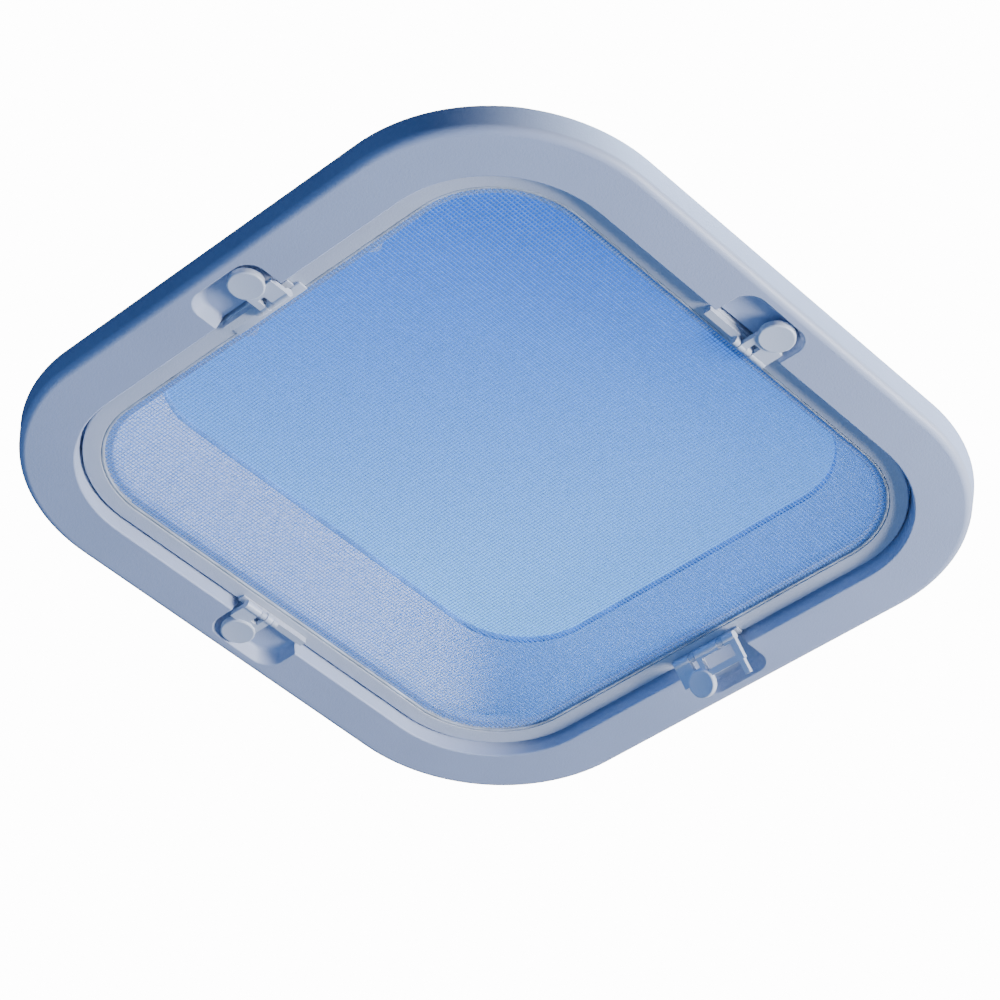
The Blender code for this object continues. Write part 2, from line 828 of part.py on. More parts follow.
def make_lever(name, place):
    """The usual lever: a barrel, two arms with a notch between them, and a round pad."""
    lever = lever_plate(name, LEVER_T, 0.0150, place)
    notch = (
        (-0.01, EAR_T[0][0] - 0.0005, -0.01),
        (0.0085, EAR_T[0][1] + 0.0005, 0.01),
    )
    bore_t = (LEVER_T[0] + 0.0014, LEVER_T[1] + 0.001)
    finish_lever(name, lever, (notch,), (PAD_R, PAD_U - PIN_U), bore_t, place)


def make_long_lever(name, place):
    """The wide lever: a slotted plate with a round pad at one end, a long arm at the other."""
    plate_x = 0.0170
    arm_t = (0.0215, 0.0258)
    lever = lever_plate(name, LONG_LEVER_T, plate_x, place)
    arm = box_object(
        "lever_arm_" + name,
        (plate_x - 0.001, arm_t[0], REAR_W + 0.0001),
        (0.0295, arm_t[1], FRONT_W - 0.0001),
        matrix=place,
    )
    combine(lever, arm, "UNION")
    slots = (
        ((0.0038, -0.0040, -0.01), (0.0125, arm_t[0], 0.01)),
        ((-0.01, LONG_EAR_T[0][0] - 0.0005, -0.01), (0.0085, LONG_EAR_T[0][1] + 0.0005, 0.01)),
        ((-0.01, LONG_EAR_T[1][0] - 0.0004, -0.01), (0.0050, LONG_EAR_T[1][1] + 0.0004, 0.01)),
    )
    bore_t = (LONG_LEVER_T[0] + 0.0014, LONG_LEVER_T[1] - 0.0014)
    finish_lever(name, lever, slots, (LONG_PAD_R, LONG_PAD_U - PIN_U), bore_t, place)


def main():
    make_base_frame()
    make_lid_gasket()
    make_liner_collar()
    make_trim_ring()
    make_trim_screws()
    for number, y in enumerate(HINGE_Y, 1):
        make_hinge(number, y)
    lens_bottom, lens_top = make_lid()
    for number, y in enumerate(HANDLE_Y, 1):
        make_striker(number, y)
        make_handle(number, y, lens_bottom, lens_top)
    make_screen()
    for name, angle, opened in zip(CATCH_NAMES, CATCH_ANGLES, CATCH_REST):
        make_catch(name, angle, opened, name == LONG_CATCH)


main()
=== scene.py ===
"""The looks of the opening porthole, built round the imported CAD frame.

The part's frame: +Z points outdoors through the lens, -Z into the cabin; the camera is in the
cabin and looks up. Lengths are in metres. A ring is a loft through sections, each a closed
round-cornered rectangle given as (half length X, half length Y, corner radius, height).
"""

import json
import math

import bmesh
import bpy
from mathutils import Matrix, Vector


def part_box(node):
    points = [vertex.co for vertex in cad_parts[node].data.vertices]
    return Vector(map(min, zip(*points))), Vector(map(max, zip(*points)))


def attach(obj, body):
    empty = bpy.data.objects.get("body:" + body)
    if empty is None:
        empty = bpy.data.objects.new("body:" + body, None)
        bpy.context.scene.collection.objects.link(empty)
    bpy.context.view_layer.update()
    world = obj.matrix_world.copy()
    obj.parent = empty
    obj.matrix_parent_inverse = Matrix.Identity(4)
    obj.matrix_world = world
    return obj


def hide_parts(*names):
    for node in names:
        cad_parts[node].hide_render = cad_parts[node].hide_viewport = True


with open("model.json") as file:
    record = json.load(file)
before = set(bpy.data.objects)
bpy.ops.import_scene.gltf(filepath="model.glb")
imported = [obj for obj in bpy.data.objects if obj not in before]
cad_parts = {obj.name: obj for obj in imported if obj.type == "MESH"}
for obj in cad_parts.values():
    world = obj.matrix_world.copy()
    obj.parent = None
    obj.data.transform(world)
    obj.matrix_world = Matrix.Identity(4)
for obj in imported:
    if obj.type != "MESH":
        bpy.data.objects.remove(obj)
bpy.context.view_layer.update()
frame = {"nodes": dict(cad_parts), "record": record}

# Places and sizes that the frame gives
TRIM_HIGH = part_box("trim_ring")[1]
SCREEN_LOW, SCREEN_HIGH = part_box("screen_frame")
PANEL_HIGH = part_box("screen_mesh")[1]
LINER_LOW, LINER_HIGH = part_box("liner_collar")
BASE_LOW, BASE_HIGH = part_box("base_frame")
GASKET_LOW, GASKET_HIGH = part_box("lid_gasket")
LID_LOW, LID_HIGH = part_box("lid_frame")
LENS_LOW, LENS_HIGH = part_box("lens")
SEAL_LOW, SEAL_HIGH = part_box("lens_seal")
SPLINE_LOW, SPLINE_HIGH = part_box("mesh_spline")

# Trim ring, as in the CAD model
WIDE = TRIM_HIGH[0]  # back of the outer wall, centre to side
DRAFT = 0.0026
FACE_HALF = WIDE - DRAFT
FACE_RADIUS = 0.119
FACE_Z = -0.039
BACK_Z = FACE_Z + 0.019
FACE_INNER = 0.2143
SEAT_HALF = 0.2113
LEDGE_Z = -0.018
LEDGE_HALF = 0.203
BOSS_HALF = 0.217
WALL = 0.003
RIM_FILLET = 0.0055  # between the face and the outer wall
FLANGE = 0.0026  # thickness of the liner's flange

# Insect screen
SCREEN_HALF = SCREEN_HIGH[0]
BAND_INNER = 0.199
GROOVE_INNER = 0.1965
MESH_HALF = 0.191
BAND_Z = SCREEN_LOW[2]
LIP_Z = -0.0278
PITCH_X = 0.00272  # spacing of the strands along X and along Y
PITCH_Y = 0.00226
STRAND_WIDTH = 0.00062
STRAND_DEPTH = 0.00036

# Catches: u outwards from the centre, t along the side, w towards the cabin
CATCHES = {"a": 0.0, "b": -90.0, "c": 180.0, "d": 90.0}
OPENED = {"a": 0.0, "b": 0.0, "c": 0.0, "d": 45.0}
PIN_U = 0.2050
PIN_W = 0.0362
BARREL_R = 0.0031
PAD_R = 0.0118
PAD_U = 0.2275
PAD_T = -0.0123
LEVER_T = (-0.0262, -0.0030)
EAR_T = ((-0.0130, -0.0086), (-0.0025, 0.0017))
LONG_CATCH = "d"  # this lever is wider, with a long arm and a smaller pad
LONG_PAD_R = 0.0100
LONG_PAD_U = 0.2235
LONG_LEVER_T = (-0.0262, 0.0262)
LONG_EAR_T = ((-0.0130, -0.0086), (0.0119, 0.0161))
FRONT_W = 0.0024
REAR_W = -0.0012
SEAT_T = (-0.0300, 0.0290)
SEAT_U = 0.2420
SEAT_DEPTH = 0.0095
SEAT_SLOPE = 0.003
SEAT_CORNER = 0.013

# Light under the lens
LIGHT_X = 0.1616
LIGHT_Y = 0.1851
LIGHT_RADIUS = 0.060
LENS_RADIUS = 0.072

# Base frame and lid
BASE_TOP = 0.004
UPSTAND_INNER = 0.2005
SPIGOT_HALF = 0.2095
METAL = 0.003  # wall of the base frame's spigot and of the lid's skirt
SKIRT = 0.013  # depth of the lid's skirt
CHAMFER = 0.0075
LENS_SHELF = 0.008  # how far the lid reaches in under the lens
SEAL_OUTER = -0.0083  # edges of the lens's seal, measured outwards from the lens's edge
SEAL_INNER = -0.0125
LENS_EDGE = 0.0009  # the lens's edge is broken by this much
SPINDLE_HOLE_R = 0.0039
SPINDLE_HOLE_TOP = 0.06

STEPS = 28  # facets in each round corner
SHARP = math.radians(30)  # edges turned more than this stay sharp
WELD = 0.000001
FLOOR_Z = -5.0
FLOOR_REACH = 8.0


# --- materials ---------------------------------------------------------------------------


class Nodes:
    """A material's node tree, with short ways to add and link its nodes."""

    def __init__(self, name):
        self.material = bpy.data.materials.new(name)
        self.material.use_nodes = True
        self.tree = self.material.node_tree
        self.shader = self.tree.nodes["Principled BSDF"]
        self.place = self.add("ShaderNodeTexCoord").outputs["Object"]

    def add(self, kind, **settings):
        node = self.tree.nodes.new(kind)
        for key, value in settings.items():
            setattr(node, key, value)
        return node

    def link(self, start, end):
        self.tree.links.new(start, end)

    def noise(self, scale, detail=3.0, roughness=0.55, stretch=None):
        node = self.add("ShaderNodeTexNoise")
        node.inputs["Scale"].default_value = scale
        node.inputs["Detail"].default_value = detail
        node.inputs["Roughness"].default_value = roughness
        source = self.place
        if stretch:
            mapping = self.add("ShaderNodeMapping")
            mapping.inputs["Scale"].default_value = stretch
            self.link(source, mapping.inputs["Vector"])
            source = mapping.outputs["Vector"]
        self.link(source, node.inputs["Vector"])
        return node.outputs["Fac"]

    def ramp(self, factor, stops):
        node = self.add("ShaderNodeValToRGB")
        elements = node.color_ramp.elements
        while len(elements) < len(stops):
            elements.new(0.5)
        for element, (position, colour) in zip(elements, stops):
            element.position = position
            element.color = (*colour, 1.0)
        self.link(factor, node.inputs["Fac"])
        return node.outputs["Color"]

    def spread(self, factor, low, high):
        node = self.add("ShaderNodeMapRange")
        node.inputs["To Min"].default_value = low
        node.inputs["To Max"].default_value = high
        self.link(factor, node.inputs["Value"])
        return node.outputs["Result"]

    def bump(self, height, distance, strength=1.0, under=None):
        node = self.add("ShaderNodeBump")
        node.inputs["Strength"].default_value = strength
        node.inputs["Distance"].default_value = distance
        self.link(height, node.inputs["Height"])
        if under:
            self.link(under, node.inputs["Normal"])
        return node.outputs["Normal"]

    def set(self, **values):
        for key, value in values.items():
            self.shader.inputs[key.replace("_", " ")].default_value = value


def shade(colour, factor):
    return tuple(channel * factor for channel in colour)


def moulded_plastic(name, colour, roughness=0.42, grain=0.00006):
    """Injection-moulded plastic: a fine spark-eroded grain and slight clouding."""
    nodes = Nodes(name)
    clouds = nodes.noise(9.0, 4.0)
    tint = nodes.ramp(clouds, [(0.3, shade(colour, 0.955)), (0.7, shade(colour, 1.03))])
    nodes.link(tint, nodes.shader.inputs["Base Color"])
    fine = nodes.noise(2600.0, 2.0, 0.6)
    gloss = nodes.spread(fine, roughness - 0.07, roughness + 0.09)
    nodes.link(gloss, nodes.shader.inputs["Roughness"])
    coarse = nodes.noise(700.0, 2.0)
    under = nodes.bump(coarse, grain * 1.5)
    nodes.link(nodes.bump(fine, grain, 1.0, under), nodes.shader.inputs["Normal"])
    nodes.set(IOR=1.47)
    return nodes.material


def anodised_aluminium(name, colour):
    nodes = Nodes(name)
    streaks = nodes.noise(60.0, 4.0, 0.6, (1.0, 1.0, 30.0))
    tint = nodes.ramp(streaks, [(0.3, shade(colour, 0.93)), (0.7, shade(colour, 1.04))])
    nodes.link(tint, nodes.shader.inputs["Base Color"])
    fine = nodes.noise(1800.0, 2.0)
    nodes.link(nodes.spread(fine, 0.28, 0.42), nodes.shader.inputs["Roughness"])
    nodes.link(nodes.bump(fine, 0.00003), nodes.shader.inputs["Normal"])
    nodes.set(Metallic=1.0)
    return nodes.material


def brushed_steel(name, colour):
    nodes = Nodes(name)
    streaks = nodes.noise(300.0, 3.0, 0.6, (1.0, 18.0, 1.0))
    tint = nodes.ramp(streaks, [(0.3, shade(colour, 0.85)), (0.7, shade(colour, 1.08))])
    nodes.link(tint, nodes.shader.inputs["Base Color"])
    nodes.link(nodes.spread(streaks, 0.18, 0.36), nodes.shader.inputs["Roughness"])
    nodes.link(nodes.bump(streaks, 0.00002), nodes.shader.inputs["Normal"])
    nodes.set(Metallic=1.0)
    return nodes.material


def soft_rubber(name, colour):
    nodes = Nodes(name)
    dust = nodes.noise(40.0, 5.0)
    tint = nodes.ramp(dust, [(0.35, shade(colour, 0.8)), (0.75, shade(colour, 1.6))])
    nodes.link(tint, nodes.shader.inputs["Base Color"])
    fine = nodes.noise(1500.0, 3.0)
    nodes.link(nodes.bump(fine, 0.00008), nodes.shader.inputs["Normal"])
    nodes.set(Roughness=0.72)
    return nodes.material


def coated_fibre(name, colour):
    """Vinyl-coated mesh strands, a little glossy, with small changes of tone."""
    nodes = Nodes(name)
    tone = nodes.noise(220.0, 3.0)
    tint = nodes.ramp(tone, [(0.3, shade(colour, 0.86)), (0.7, shade(colour, 1.1))])
    nodes.link(tint, nodes.shader.inputs["Base Color"])
    nodes.set(Roughness=0.5, Alpha=0.45)
    return nodes.material


def tinted_acrylic_with_painted_glow(name, colour, pale):
    """Blue cast acrylic with painted light: it glows as if daylight shone through it, and its
    colour and glow are painted paler towards its corner at -X and +Y.
    """
    nodes = Nodes(name)
    axes = nodes.add("ShaderNodeSeparateXYZ")
    nodes.link(nodes.place, axes.inputs["Vector"])
    slope = nodes.add("ShaderNodeMath", operation="SUBTRACT")
    nodes.link(axes.outputs["Y"], slope.inputs[0])
    nodes.link(axes.outputs["X"], slope.inputs[1])
    reach = nodes.add("ShaderNodeMapRange")
    reach.inputs["From Min"].default_value = -0.25
    reach.inputs["From Max"].default_value = 0.30
    nodes.link(slope.outputs["Value"], reach.inputs["Value"])
    # painted light: the pane is paler towards -X and +Y, standing in for brighter daylight through
    # it there
    tint = nodes.ramp(reach.outputs["Result"], [(0.0, colour), (1.0, pale)])
    nodes.link(tint, nodes.shader.inputs["Base Color"])
    haze = nodes.noise(5.0, 3.0)
    nodes.link(nodes.spread(haze, 0.06, 0.12), nodes.shader.inputs["Roughness"])
    # painted glow: the same colour is given off as light by the lens, which is no lamp
    nodes.link(tint, nodes.shader.inputs["Emission Color"])
    nodes.set(IOR=1.49, Alpha=0.60, Emission_Strength=0.60)
    return nodes.material


MOULDING = moulded_plastic("trim_moulding", (0.46, 0.525, 0.70))
LEVER = moulded_plastic("catch_moulding", (0.66, 0.71, 0.82), 0.34, 0.00004)
SCREEN = moulded_plastic("screen_moulding", (0.58, 0.62, 0.72), 0.50, 0.00009)
LINER = moulded_plastic("liner_moulding", (0.84, 0.90, 1.0), 0.45)
FIBRE = coated_fibre("mesh_fibre", (0.20, 0.42, 0.82))
ALUMINIUM = anodised_aluminium("anodised_aluminium", (0.66, 0.67, 0.69))
STEEL = brushed_steel("stainless_steel", (0.60, 0.60, 0.61))
RUBBER = soft_rubber("seal_rubber", (0.035, 0.037, 0.042))
BEAD = soft_rubber("lens_bead", (0.22, 0.45, 0.75))
SPLINE = soft_rubber("spline_rubber", (0.42, 0.46, 0.53))
# the lens's material, with a painted glow and a painted paler corner
ACRYLIC_PAINTED_GLOW = tinted_acrylic_with_painted_glow("blue_acrylic_painted_glow", (0.01, 0.14, 0.60), (0.38, 0.80, 1.0))
HANDLE = moulded_plastic("handle_moulding", (0.74, 0.77, 0.80), 0.32, 0.00004)


# --- building blocks ---------------------------------------------------------------------


def add_object(name, bm, material):
    """A new object from the bmesh, with smooth faces and sharp edges."""
    bmesh.ops.recalc_face_normals(bm, faces=bm.faces)
    mesh = bpy.data.meshes.new(name)
    bm.to_mesh(mesh)
    bm.free()
    mesh.materials.append(material)
    mesh.shade_smooth()
    mesh.set_sharp_from_angle(angle=SHARP)
    obj = bpy.data.objects.new(name, mesh)
    bpy.context.scene.collection.objects.link(obj)
    return obj


def piece(obj, body, slot, *nodes):
    """Says which body a finished piece rides on and the CAD nodes it stands for; the slot is not
    used.
    """
    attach(obj, body)
    if nodes:
        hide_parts(*nodes)
    return obj


def rounded_loop(bm, half_x, half_y, radius, z, steps=STEPS):
    """The points of a round-cornered rectangle, anticlockwise from its +X side."""
    loop = []
    for quarter in range(4):
        side_x = 1 if quarter in (0, 3) else -1
        side_y = 1 if quarter in (0, 1) else -1
        centre = Vector((side_x * (half_x - radius), side_y * (half_y - radius), z))
        for step in range(steps + 1):
            angle = (quarter + step / steps) * math.pi / 2
            around = Vector((math.cos(angle), math.sin(angle), 0.0))
            loop.append(bm.verts.new(centre + radius * around))
    return loop


def bridge(bm, lower, upper):
    """Faces between two loops that have as many points."""
    for i, vert in enumerate(lower):
        j = (i + 1) % len(lower)
        bm.faces.new((vert, lower[j], upper[j], upper[i]))


def make_ring(name, sections, material):
    """A closed ring lofted through its sections and back to the first."""
    bm = bmesh.new()
    loops = [rounded_loop(bm, *section) for section in sections]
    for loop, following in zip(loops, loops[1:] + loops[:1]):
        bridge(bm, loop, following)
    return add_object(name, bm, material)


def make_slab(name, sections, material):
    """A solid lofted through its sections and closed at both ends."""
    bm = bmesh.new()
    loops = [rounded_loop(bm, *section) for section in sections]
    for loop, following in zip(loops, loops[1:]):
        bridge(bm, loop, following)
    bm.faces.new(loops[0])
    bm.faces.new(loops[-1])
    return add_object(name, bm, material)


def square(half, z):
    """A square section whose corners run parallel to the trim ring's."""
    return (half, half, FACE_RADIUS - (FACE_HALF - half), z)


def round_over(start, corner, end, radius, steps=5):
    """Points of an outline (half, z) that turn the corner on an arc of this radius."""
    corner = Vector(corner)
    back = (Vector(start) - corner).normalized()
    ahead = (Vector(end) - corner).normalized()
    half_turn = back.angle(ahead) / 2
    reach = radius / math.tan(half_turn)
    centre = corner + (back + ahead).normalized() * radius / math.sin(half_turn)
    first = corner + back * reach - centre
    last = corner + ahead * reach - centre
    points = []
    for step in range(steps + 1):
        share = step / steps
        points.append(centre + radius * first.slerp(last, share).normalized())
    return [tuple(point) for point in points]


def outline_sections(outline, fillets):
    """Square sections along a closed outline; fillets gives a radius for some corners."""
    sections = []
    count = len(outline)
    for i, point in enumerate(outline):
        if i in fillets:
            before, after = outline[i - 1], outline[(i + 1) % count]
            turned = round_over(before, point, after, fillets[i])
            sections += [square(half, z) for half, z in turned]
        else:
            sections.append(square(*point))
    return sections


def add_box(bm, low, high):
    low, high = Vector(low), Vector(high)
    size = Matrix.Diagonal((*(high - low), 1.0))
    middle = Matrix.Translation((low + high) / 2)
    return bmesh.ops.create_cube(bm, size=1.0, matrix=middle @ size)["verts"]


def box_object(name, low, high, material, matrix=Matrix()):
    bm = bmesh.new()
    add_box(bm, low, high)
    bm.transform(matrix)
    return add_object(name, bm, material)


def cylinder_object(name, radius, start, end, material, matrix=Matrix(), segments=48):
    start, end = Vector(start), Vector(end)
    along = end - start
    turn = along.to_track_quat("Z", "Y").to_matrix().to_4x4()
    bm = bmesh.new()
    bmesh.ops.create_cone(
        bm,
        cap_ends=True,
        segments=segments,
        radius1=radius,
        radius2=radius,
        depth=along.length,
        matrix=matrix @ Matrix.Translation((start + end) / 2) @ turn,
    )
    return add_object(name, bm, material)


def prism_object(name, outline, low, high, material, matrix=Matrix()):
    """An outline of (x, z) points, extruded along Y from low to high."""
    bm = bmesh.new()
    face = bm.faces.new([bm.verts.new((x, low, z)) for x, z in outline])
    extruded = bmesh.ops.extrude_face_region(bm, geom=[face])["geom"]
    verts = [item for item in extruded if isinstance(item, bmesh.types.BMVert)]
    bmesh.ops.translate(bm, verts=verts, vec=(0.0, high - low, 0.0))
    bm.transform(matrix)
    return add_object(name, bm, material)


def turned_object(name, profile, material, matrix=Matrix(), steps=56):
    """A profile of (radius, height) points, from axis to axis, turned about Z."""
    bm = bmesh.new()
    verts = [bm.verts.new((radius, 0.0, height)) for radius, height in profile]
    edges = [bm.edges.new(pair) for pair in zip(verts, verts[1:])]
    bmesh.ops.spin(
        bm, geom=verts + edges, cent=(0, 0, 0), axis=(0, 0, 1), angle=2 * math.pi, steps=steps
    )
    bmesh.ops.remove_doubles(bm, verts=bm.verts, dist=WELD)
    bm.transform(matrix)
    return add_object(name, bm, material)


def arc(radius, start, end, steps, centre=(0.0, 0.0)):
    angles = [math.radians(start + (end - start) * i / steps) for i in range(steps + 1)]
    return [(centre[0] + radius * math.cos(a), centre[1] + radius * math.sin(a)) for a in angles]


def combine(obj, others, operation):
    """Joins the others to the object, or cuts them out of it, and removes them."""
    for other in others:
        modifier = obj.modifiers.new(operation.lower(), "BOOLEAN")
        modifier.operation = operation
        modifier.object = other
    settle(obj)
    for other in others:
        bpy.data.objects.remove(other)


def settle(obj):
    """Replaces the object's mesh with what its modifiers make of it."""
    graph = bpy.context.evaluated_depsgraph_get()
    mesh = bpy.data.meshes.new_from_object(obj.evaluated_get(graph))
    mesh.shade_smooth()
    mesh.set_sharp_from_angle(angle=SHARP)
    obj.modifiers.clear()
    obj.data = mesh


def even_shading(obj):
    """Lets each large flat face shade flat, with the turn left to the small faces at its edge."""
    modifier = obj.modifiers.new("even_shading", "WEIGHTED_NORMAL")
    modifier.keep_sharp = True
    modifier.weight = 100


def round_edges(obj, width, segments=3, angle=32):
    modifier = obj.modifiers.new("rounded_edges", "BEVEL")
    modifier.width = width
    modifier.segments = segments
    modifier.limit_method = "ANGLE"
    modifier.angle_limit = math.radians(angle)
    modifier.harden_normals = False
    settle(obj)


def merge_points(obj, distance=0.00005):
    """Merges points that a Boolean left almost on top of each other."""
    bm = bmesh.new()
    bm.from_mesh(obj.data)
    bmesh.ops.remove_doubles(bm, verts=bm.verts, dist=distance)
    bmesh.ops.dissolve_degenerate(bm, edges=bm.edges, dist=distance)
    bm.to_mesh(obj.data)
    bm.free()


def side_frame(angle):
    """The matrix from (u, t, w) at the side in this direction to the part's axes."""
    turn = math.radians(angle)
    outward = Vector((math.cos(turn), math.sin(turn), 0.0))
    along = Vector((math.sin(turn), -math.cos(turn), 0.0))
    return Matrix((outward, along, (0.0, 0.0, -1.0))).transposed().to_4x4()


# --- camera and light --------------------------------------------------------------------


def look_from(position, target, roll=0.0):
    """The matrix of something at this position that looks along its -Z at the target."""
    back = (Vector(position) - Vector(target)).normalized()
    right = Vector((0.0, 0.0, 1.0)).cross(back).normalized()
    turn = Matrix((right, back.cross(right), back)).transposed().to_4x4()
    return Matrix.Translation(position) @ turn @ Matrix.Rotation(roll, 4, "Z")


def make_camera():
    """Below and in front of the trim ring, looking up at the middle of its face."""
    azimuth, elevation = math.radians(47.71), math.radians(-42.96)
    distance = 2.1465
    target = Vector((0.0, 0.0, FACE_Z))
    back = Vector(
        (
            math.sin(azimuth) * math.cos(elevation),
            -math.cos(azimuth) * math.cos(elevation),
            math.sin(elevation),
        )
    )
    data = bpy.data.cameras.new("camera")
    data.sensor_width = 36.0
    data.lens = 120.94
    data.shift_x = 0.0074
    data.shift_y = -0.0073
    data.clip_end = 50.0
    camera = bpy.data.objects.new("camera", data)
    camera.matrix_world = look_from(target + distance * back, target, math.radians(5.39))
    bpy.context.scene.collection.objects.link(camera)
    bpy.context.scene.camera = camera


def area_light(name, position, size, power, colour):
    """A square lamp aimed at the middle of the trim ring's face."""
    data = bpy.data.lights.new(name, "AREA")
    data.size = size
    data.energy = power
    data.color = colour
    light = bpy.data.objects.new(name, data)
    light.matrix_world = look_from(position, (0.0, 0.0, FACE_Z))
    bpy.context.scene.collection.objects.link(light)


def make_lights():
    """A bright lamp at the +X side, a weak one in front, and blue sky light from outdoors."""
    area_light(
        "key", position=(1.95, 1.10, -0.90), size=0.9, power=118.0, colour=(1.0, 0.99, 0.98)
    )
    area_light(
        "fill", position=(-0.6, -1.6, -2.2), size=2.5, power=2.5, colour=(0.62, 0.76, 1.0)
    )
    area_light("sky", position=(0.8, 0.4, 2.0), size=1.2, power=240.0, colour=(0.55, 0.76, 1.0))


def make_world():
    """White round the object, blue sky through the lens, and a dim blue light on the object."""
    world = bpy.data.worlds.new("studio")
    bpy.context.scene.world = world
    world.use_nodes = True
    tree = world.node_tree
    rays = tree.nodes.new("ShaderNodeLightPath")

    def glow(colour, strength):
        node = tree.nodes.new("ShaderNodeBackground")
        node.inputs["Color"].default_value = (*colour, 1.0)
        node.inputs["Strength"].default_value = strength
        return node.outputs["Background"]

    def choose(factor, otherwise, chosen):
        node = tree.nodes.new("ShaderNodeMixShader")
        tree.links.new(factor, node.inputs["Fac"])
        tree.links.new(otherwise, node.inputs[1])
        tree.links.new(chosen, node.inputs[2])
        return node.outputs["Shader"]

    past_lens = tree.nodes.new("ShaderNodeMath")
    past_lens.operation = "GREATER_THAN"
    past_lens.inputs[1].default_value = 0.5
    tree.links.new(rays.outputs["Transparent Depth"], past_lens.inputs[0])
    ambient = glow((0.14, 0.28, 0.80), 0.16)
    white = glow((1.0, 1.0, 1.0), 14.0)
    sky = glow((0.05, 0.34, 1.0), 1.35)
    plain = choose(rays.outputs["Is Camera Ray"], ambient, white)
    shown = choose(past_lens.outputs["Value"], plain, sky)
    tree.links.new(shown, tree.nodes["World Output"].inputs["Surface"])


def make_floor():
    """A floor far enough below for the camera to stand on. The camera sees it pale in any light."""
    nodes = Nodes("floor")
    nodes.set(Base_Color=(0.82, 0.83, 0.84, 1.0), Roughness=0.9)
    rays = nodes.add("ShaderNodeLightPath")
    pale = nodes.add("ShaderNodeEmission")
    pale.inputs["Color"].default_value = (0.92, 0.94, 0.96, 1.0)
    pale.inputs["Strength"].default_value = 4.0
    mix = nodes.add("ShaderNodeMixShader")
    nodes.link(rays.outputs["Is Camera Ray"], mix.inputs["Fac"])
    nodes.link(nodes.shader.outputs["BSDF"], mix.inputs[1])
    nodes.link(pale.outputs["Emission"], mix.inputs[2])
    nodes.link(mix.outputs["Shader"], nodes.tree.nodes["Material Output"].inputs["Surface"])
    bm = bmesh.new()
    bmesh.ops.create_grid(bm, x_segments=1, y_segments=1, size=FLOOR_REACH)
    bm.transform(Matrix.Translation((0.0, 0.0, FLOOR_Z)))
    add_object("floor", bm, nodes.material)


# --- fixed structure ---------------------------------------------------------------------


def seat_outline(inset):
    """The rim of a catch's hollow in (u, t), moved in by the inset on its three closed sides."""
    far = SEAT_U - inset
    low = SEAT_T[0] + inset
    high = SEAT_T[1] - inset
    start = SEAT_HALF - 0.003
    corner = SEAT_CORNER
    return [
        (start, low),
        *arc(corner, -90, 0, 14, (far - corner, low + corner)),
        *arc(corner, 0, 90, 14, (far - corner, high - corner)),
        (start, high),
    ]


def seat_cutter(name, place):
    """The hollow in the trim ring that a catch's lever lies in: sloping sides, dished foot."""
    rise = 0.003
    levels = [(-SEAT_SLOPE * rise / SEAT_DEPTH, -FACE_Z + rise)]
    dish = 0.0035
    for step in range(6):
        turn = math.radians(15 * step + 5)
        inset = SEAT_SLOPE + dish * (1 - math.cos(turn))
        levels.append((inset, -FACE_Z - SEAT_DEPTH + dish * (1 - math.sin(turn))))
    bm = bmesh.new()
    loops = [[bm.verts.new((u, t, w)) for u, t in seat_outline(inset)] for inset, w in levels]
    for loop, following in zip(loops, loops[1:]):
        bridge(bm, loop, following)
    bm.faces.new(loops[0])
    bm.faces.new(loops[-1])
    bm.transform(place)
    return add_object("seat_" + name, bm, MOULDING)


def make_trim_ring():
    inside_z = FACE_Z + WALL
    outline = [
        (WIDE, BACK_Z),
        (FACE_HALF + 0.0006, FACE_Z),
        (FACE_INNER, FACE_Z),
        (SEAT_HALF, LEDGE_Z),
        (LEDGE_HALF, LEDGE_Z),
        (LEDGE_HALF, LEDGE_Z + WALL),
        (BOSS_HALF, LEDGE_Z + WALL),
        (BOSS_HALF, inside_z),
        (FACE_HALF - 0.0045, inside_z),
        (WIDE - 0.0035, BACK_Z),
    ]
    sections = outline_sections(outline, {1: RIM_FILLET, 2: 0.0014, 4: 0.0006})
    trim = make_ring("trim_moulding", sections, MOULDING)
    blocks, cutters = [], []
    wall = 0.0025
    for name, angle in CATCHES.items():
        place = side_frame(angle)
        low = (BOSS_HALF - 0.001, SEAT_T[0] - wall, -FACE_Z - SEAT_DEPTH - wall)
        high = (FACE_HALF - 0.0015, SEAT_T[1] + wall, -inside_z + 0.001)
        blocks.append(box_object("seat_block_" + name, low, high, MOULDING, place))
        cutters.append(seat_cutter(name, place))
    combine(trim, blocks, "UNION")
    combine(trim, cutters, "DIFFERENCE")
    merge_points(trim)
    round_edges(trim, 0.0008, 2, 38)
    even_shading(trim)
    piece(trim, "housing", "moulding", "trim_ring")


def make_liner():
    """The liner's inside wall, its rounded top edge, its outside wall and its flange."""
    flange_z = LINER_LOW[2]
    flange_top = flange_z + FLANGE
    foot = square(LEDGE_HALF, 0.0)[2]
    top = LINER_HIGH[2]
    sections = [
        (LEDGE_HALF, LEDGE_HALF, foot, flange_z),
        (LIGHT_X + 0.0006, LIGHT_Y + 0.0004, LIGHT_RADIUS, top - 0.001),
        (LIGHT_X + 0.0012, LIGHT_Y + 0.0012, LIGHT_RADIUS, top),
        (LIGHT_X + WALL - 0.0006, LIGHT_Y + WALL - 0.0006, LIGHT_RADIUS + WALL, top),
        (LIGHT_X + WALL, LIGHT_Y + WALL, LIGHT_RADIUS + WALL, top - 0.0008),
        (LEDGE_HALF + WALL, LEDGE_HALF + WALL, foot + WALL, flange_top),
        square(BOSS_HALF, flange_top),
        square(BOSS_HALF, flange_z),
    ]
    liner = make_ring("liner", sections, LINER)
    piece(liner, "housing", "liner", "liner_collar")


